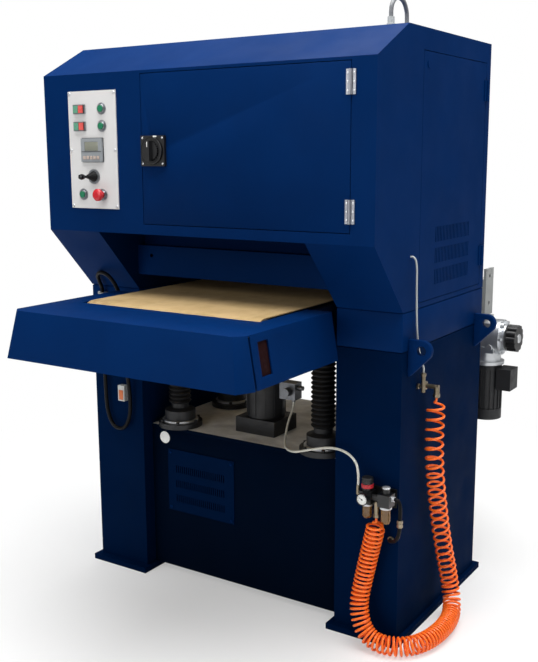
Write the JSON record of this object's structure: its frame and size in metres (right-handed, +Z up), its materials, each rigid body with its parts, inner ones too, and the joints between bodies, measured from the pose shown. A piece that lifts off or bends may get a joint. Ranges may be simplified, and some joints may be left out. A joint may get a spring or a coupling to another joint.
{
  "type": "surface grinding machine",
  "caption": "Wide-belt surface grinder: cabinet on two columns over a conveyor table that rises on screws, with control panel, doors, grinding head and coiled air hose.",
  "frame": {"origin": "on the floor, under the middle of the machine's box without its hose and cables", "axes": "+Z up; the machine's front, where work is fed in, faces -Y; the feed drive's handwheel and the side door face +X"},
  "size_m": [1.4634, 1.622, 1.9985],
  "materials": {
    "body_paint": "smooth gloss dark blue paint",
    "table_frame_paint": "semi-gloss dark grey paint",
    "base_plate_paint": "matt warm grey paint",
    "jack_iron": "black painted casting",
    "bellows_rubber": "matt black rubber",
    "motor_paint": "semi-gloss grey-blue paint",
    "motor_black": "semi-gloss black paint",
    "abrasive_cloth": "matt brown abrasive cloth",
    "electrics": "pale grey powder coat",
    "panel_paint": "satin pale grey coating",
    "display_plastic": "grey housing with a dark green screen",
    "bezel_chrome": "bright plated",
    "cast_aluminium": "bead-blasted casting",
    "bowl_plastic": "clear amber",
    "fitting_brass": "plain brass",
    "valve_metal": "satin",
    "gland_plastic": "light grey moulded",
    "black_plastic": "black moulded",
    "boot_rubber": "black rubber",
    "button_green": "glossy moulded",
    "button_red": "glossy moulded",
    "belt_cloth": "matt tan conveyor belt",
    "ground_steel": "ground",
    "bracket_steel": "grey painted plate",
    "drum_rubber": "dark rubber cover",
    "hose_plastic": "orange polyurethane",
    "tube_plastic": "white nylon",
    "cable_sheath": "black sheath"
  },
  "bodies": {
    "machine": {"base_box": "body_paint", "base_top_plate": "base_plate_paint", "vent_cover": "body_paint", "columns": "body_paint", "spacer_blocks": "body_paint", "left_side_wall": "body_paint", "right_side_wall": "body_paint", "front_frame": "body_paint", "roof_panel": "body_paint", "apron": "body_paint", "lifting_lugs": "body_paint", "jack_housings": "jack_iron", "screw_bellows": "bellows_rubber", "lift_motor": "jack_iron", "head_frame": "table_frame_paint", "main_motor": "motor_paint", "drive_belt": "bellows_rubber", "abrasive_belt": "abrasive_cloth", "electrics_plate": "electrics", "control_panel": "panel_paint", "display_unit": "display_plastic", "switch_bezels": "bezel_chrome", "front_hinge_bases": "bezel_chrome", "air_unit": "cast_aluminium", "air_bowls": "bowl_plastic", "hose_fittings": "fitting_brass", "valve_block": "valve_metal", "cable_fittings": "gland_plastic", "coil_hose": "hose_plastic", "air_tube": "tube_plastic", "cables": "cable_sheath"},
    "table": {"table_frame": "table_frame_paint", "front_cover": "body_paint", "side_covers": "body_paint", "conveyor_belt": "belt_cloth", "lift_screws": "ground_steel", "drive_bracket": "bracket_steel", "feed_gearbox": "cast_aluminium", "feed_motor": "motor_black"},
    "front_door": {"front_door": "body_paint", "front_hinge_leaves": "bezel_chrome", "isolator_base": "black_plastic"},
    "isolator_knob": {"isolator_knob": "black_plastic"},
    "side_door": {"side_door": "body_paint"},
    "upper_button": {"upper_button": "button_green"},
    "middle_button": {"middle_button": "button_green"},
    "lower_button": {"lower_button": "button_green"},
    "upper_green_key": {"upper_green_key": "button_green"},
    "upper_red_key": {"upper_red_key": "button_red"},
    "lower_green_key": {"lower_green_key": "button_green"},
    "lower_red_key": {"lower_red_key": "button_red"},
    "stop_mushroom": {"stop_mushroom": "button_red"},
    "joystick": {"joystick": "boot_rubber"},
    "idler_roller": {"idler_roller": "ground_steel"},
    "drive_roller": {"drive_roller": "ground_steel"},
    "speed_handwheel": {"speed_handwheel": "black_plastic"},
    "contact_drum": {"contact_drum": "drum_rubber"},
    "tension_roller": {"tension_roller": "ground_steel"},
    "motor_pulley": {"motor_pulley": "ground_steel"},
    "regulator_knob": {"regulator_knob": "black_plastic"}
  },
  "joints": [
    {"name": "table_lift", "type": "slide", "parent": "machine", "child": "table", "axis": [0, 0, 1], "range_m": [-0.05, 0.045], "deforming": ["screw_bellows"]},
    {"name": "front_door_hinge", "type": "hinge", "parent": "machine", "child": "front_door", "pos_m": [0.548, -0.4191, 1.552], "axis": [0, 0, 1], "range_deg": [0, 110]},
    {"name": "isolator_turn", "type": "hinge", "parent": "front_door", "child": "isolator_knob", "pos_m": [-0.151, -0.43, 1.549], "axis": [0, 1, 0], "range_deg": [0, 90]},
    {"name": "side_door_hinge", "type": "hinge", "parent": "machine", "child": "side_door", "pos_m": [0.632, 0.406, 1.465], "axis": [0, 0, 1], "range_deg": [0, 110]},
    {"name": "upper_button_press", "type": "slide", "parent": "machine", "child": "upper_button", "axis": [0, 1, 0], "range_m": [0, 0.004], "stiffness_N_per_m": 500, "springref_m": -0.002},
    {"name": "middle_button_press", "type": "slide", "parent": "machine", "child": "middle_button", "axis": [0, 1, 0], "range_m": [0, 0.004], "stiffness_N_per_m": 500, "springref_m": -0.002},
    {"name": "lower_button_press", "type": "slide", "parent": "machine", "child": "lower_button", "axis": [0, 1, 0], "range_m": [0, 0.004], "stiffness_N_per_m": 500, "springref_m": -0.002},
    {"name": "upper_green_key_press", "type": "slide", "parent": "machine", "child": "upper_green_key", "axis": [0, 1, 0], "range_m": [0, 0.003], "stiffness_N_per_m": 500, "springref_m": -0.002},
    {"name": "upper_red_key_press", "type": "slide", "parent": "machine", "child": "upper_red_key", "axis": [0, 1, 0], "range_m": [0, 0.003], "stiffness_N_per_m": 500, "springref_m": -0.002},
    {"name": "lower_green_key_press", "type": "slide", "parent": "machine", "child": "lower_green_key", "axis": [0, 1, 0], "range_m": [0, 0.003], "stiffness_N_per_m": 500, "springref_m": -0.002},
    {"name": "lower_red_key_press", "type": "slide", "parent": "machine", "child": "lower_red_key", "axis": [0, 1, 0], "range_m": [0, 0.003], "stiffness_N_per_m": 500, "springref_m": -0.002},
    {"name": "stop_press", "type": "slide", "parent": "machine", "child": "stop_mushroom", "axis": [0, 1, 0], "range_m": [0, 0.005]},
    {"name": "joystick_tilt", "type": "hinge", "parent": "machine", "child": "joystick", "pos_m": [-0.407, -0.417, 1.467], "axis": [1, 0, 0], "range_deg": [-20, 20], "stiffness_Nm_per_rad": 1},
    {"name": "idler_roller_spin", "type": "hinge", "parent": "table", "child": "idler_roller", "pos_m": [0, -0.524, 1.019], "axis": [1, 0, 0], "continuous": true},
    {"name": "drive_roller_spin", "type": "hinge", "parent": "table", "child": "drive_roller", "pos_m": [0, 0.746, 1.019], "axis": [1, 0, 0], "continuous": true},
    {"name": "speed_handwheel_turn", "type": "hinge", "parent": "table", "child": "speed_handwheel", "pos_m": [0.65, 0.711, 0.843], "axis": [1, 0, 0], "continuous": true},
    {"name": "contact_drum_spin", "type": "hinge", "parent": "machine", "child": "contact_drum", "pos_m": [0, 0.112, 1.207], "axis": [1, 0, 0], "continuous": true},
    {"name": "tension_roller_spin", "type": "hinge", "parent": "machine", "child": "tension_roller", "pos_m": [0, 0.112, 1.69], "axis": [1, 0, 0], "continuous": true},
    {"name": "motor_pulley_spin", "type": "hinge", "parent": "machine", "child": "motor_pulley", "pos_m": [-0.44, 0.321, 1.45], "axis": [1, 0, 0], "continuous": true},
    {"name": "regulator_knob_turn", "type": "hinge", "parent": "machine", "child": "regulator_knob", "pos_m": [0.536, -0.256, 0.537], "axis": [0, 0, 1], "continuous": true}
  ],
  "couplings": [
    {"joint": "idler_roller_spin", "follows": "drive_roller_spin", "ratio": 1},
    {"joint": "tension_roller_spin", "follows": "contact_drum_spin", "ratio": 1.4095},
    {"joint": "motor_pulley_spin", "follows": "contact_drum_spin", "ratio": 1}
  ]
}
